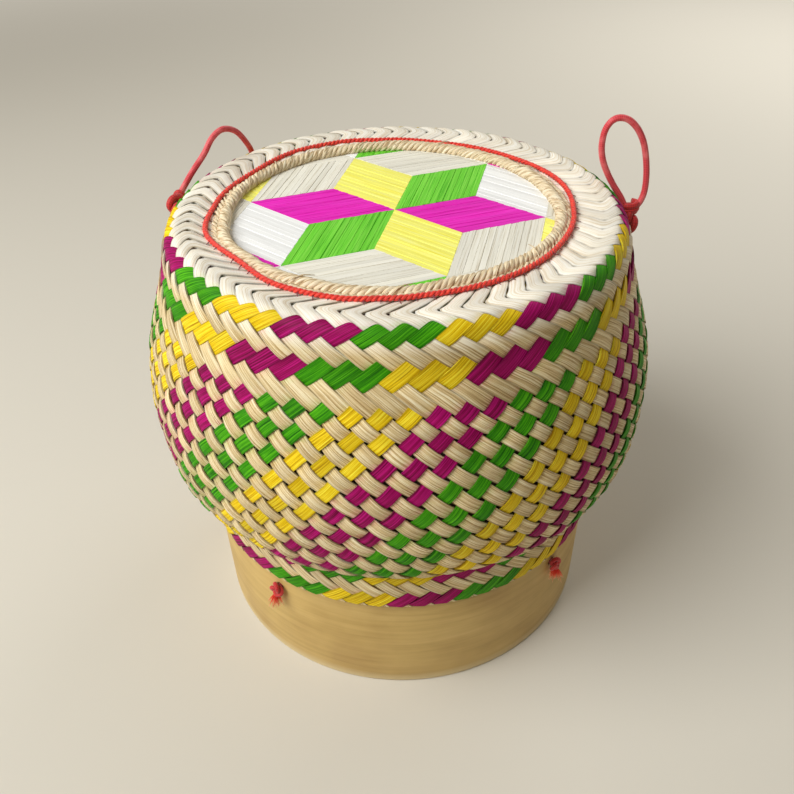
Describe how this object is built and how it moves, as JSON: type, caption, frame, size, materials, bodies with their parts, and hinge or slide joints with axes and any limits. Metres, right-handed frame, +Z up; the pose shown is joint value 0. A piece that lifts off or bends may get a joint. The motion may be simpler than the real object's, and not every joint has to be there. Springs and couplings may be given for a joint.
{
  "type": "sticky rice basket",
  "caption": "Woven bamboo basket with a deep lift-off lid, a star-patterned top, a bent wooden foot and red cord ears at the sides.",
  "frame": {"origin": "middle of the foot's underside", "axes": "+Z up along the basket's centre line; the front faces -Y; +X to the right seen from the front"},
  "size_m": [0.15, 0.15, 0.1508],
  "materials": {
    "woven_bamboo": "satin",
    "natural_bamboo": "satin",
    "white_bamboo": "satin",
    "magenta_bamboo": "satin",
    "green_bamboo": "satin",
    "yellow_bamboo": "satin",
    "foot_wood": "satin",
    "red_cord": "matte"
  },
  "bodies": {
    "basket": {"body_outer_wall": "woven_bamboo", "body_lining": "natural_bamboo", "body_rim_binding": "natural_bamboo", "foot_ring": "foot_wood", "foot_lap_peg_1": "foot_wood", "foot_lap_peg_2": "foot_wood", "foot_lap_peg_3": "foot_wood", "left_front_foot_knot": "red_cord", "left_back_foot_knot": "red_cord", "left_foot_cord": "red_cord", "left_side_cord_1": "red_cord", "left_side_cord_2": "red_cord", "right_front_foot_knot": "red_cord", "right_back_foot_knot": "red_cord", "right_foot_cord": "red_cord", "right_side_cord_1": "red_cord", "right_side_cord_2": "red_cord"},
    "lid": {"lid_outer_wall": "woven_bamboo", "lid_lining": "natural_bamboo", "rim_core_hoop": "foot_wood", "panel_backing": "natural_bamboo", "rim_braid": "natural_bamboo", "rim_cord": "red_cord", "star_magenta_1": "magenta_bamboo", "star_magenta_2": "magenta_bamboo", "star_magenta_3": "magenta_bamboo", "star_magenta_4": "magenta_bamboo", "star_green_1": "green_bamboo", "star_green_2": "green_bamboo", "star_green_3": "green_bamboo", "star_green_4": "green_bamboo", "star_yellow_1": "yellow_bamboo", "star_yellow_2": "yellow_bamboo", "star_yellow_3": "yellow_bamboo", "star_yellow_4": "yellow_bamboo", "star_natural_1": "natural_bamboo", "star_natural_2": "natural_bamboo", "star_natural_3": "natural_bamboo", "star_natural_4": "natural_bamboo", "star_natural_5": "natural_bamboo", "star_natural_6": "natural_bamboo", "star_natural_7": "natural_bamboo", "star_natural_8": "natural_bamboo", "star_white_1": "white_bamboo", "star_white_2": "white_bamboo", "star_white_3": "white_bamboo", "star_white_4": "white_bamboo"},
    "left_loop": {"left_ear_knot": "red_cord", "left_ear_loop": "red_cord"},
    "right_loop": {"right_ear_knot": "red_cord", "right_ear_loop": "red_cord"}
  },
  "joints": [
    {"name": "lid_lift", "type": "slide", "parent": "basket", "child": "lid", "axis": [0, 0, 1], "range_m": [0, 0.08], "deforming": ["left_side_cord_1", "left_side_cord_2", "right_side_cord_1", "right_side_cord_2"]},
    {"name": "left_loop_fold", "type": "hinge", "parent": "lid", "child": "left_loop", "pos_m": [-0.06525, 0.01871, 0.1245], "axis": [-0.2756, -0.9613, 0], "range_deg": [0, 110]},
    {"name": "right_loop_fold", "type": "hinge", "parent": "lid", "child": "right_loop", "pos_m": [0.06812, 0.01152, 0.121], "axis": [-0.1668, 0.986, 0], "range_deg": [0, 110]}
  ]
}
